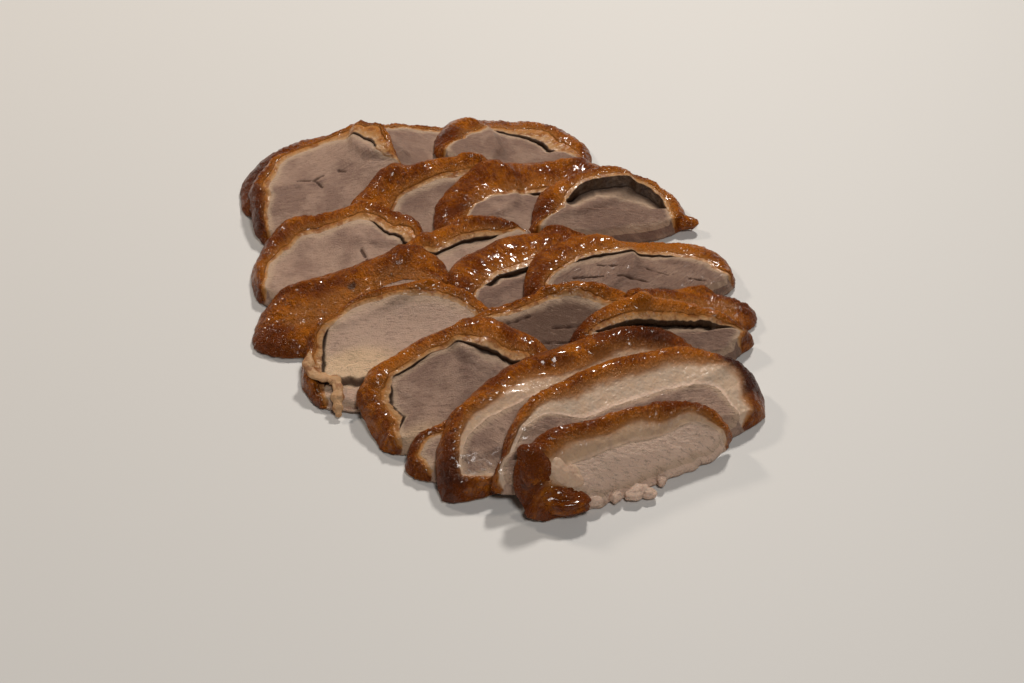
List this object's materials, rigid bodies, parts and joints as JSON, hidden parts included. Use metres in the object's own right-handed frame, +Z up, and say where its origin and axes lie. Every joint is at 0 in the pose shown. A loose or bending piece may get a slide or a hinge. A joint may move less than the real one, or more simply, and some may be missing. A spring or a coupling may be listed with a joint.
{
  "type": "sliced roast duck",
  "caption": "Roast duck breast carved into skin-on slices that lie in overlapping rows as one low oval mound, for serving on a dish.",
  "frame": {"origin": "under the middle of the mound, on the surface that it lies on", "axes": "+X along the mound's length, from the row laid first to the long slices laid last; +Y across the rows, from the curled skin ends on one side to the other side; +Z up"},
  "size_m": [0.26, 0.1916, 0.0275],
  "materials": {
    "glazed_skin": "glazed and browned",
    "skin_and_meat": "moist, part browned",
    "cut_meat": "moist cut face"
  },
  "bodies": {
    "root": {"slice_a1": "glazed_skin", "slice_a2": "cut_meat", "slice_a3": "cut_meat", "slice_b1": "cut_meat", "slice_b2": "skin_and_meat", "slice_b3": "glazed_skin", "slice_b4": "cut_meat", "slice_c1": "cut_meat", "slice_c2": "skin_and_meat", "slice_c3": "glazed_skin", "slice_c4": "cut_meat", "slice_d1": "glazed_skin", "slice_d2": "cut_meat", "slice_d3": "cut_meat", "slice_d4": "glazed_skin", "slice_d5": "skin_and_meat", "slice_e1": "cut_meat", "slice_e2": "glazed_skin", "slice_e3": "skin_and_meat", "slice_e4": "skin_and_meat", "slice_e5": "cut_meat"}
  },
  "joints": []
}
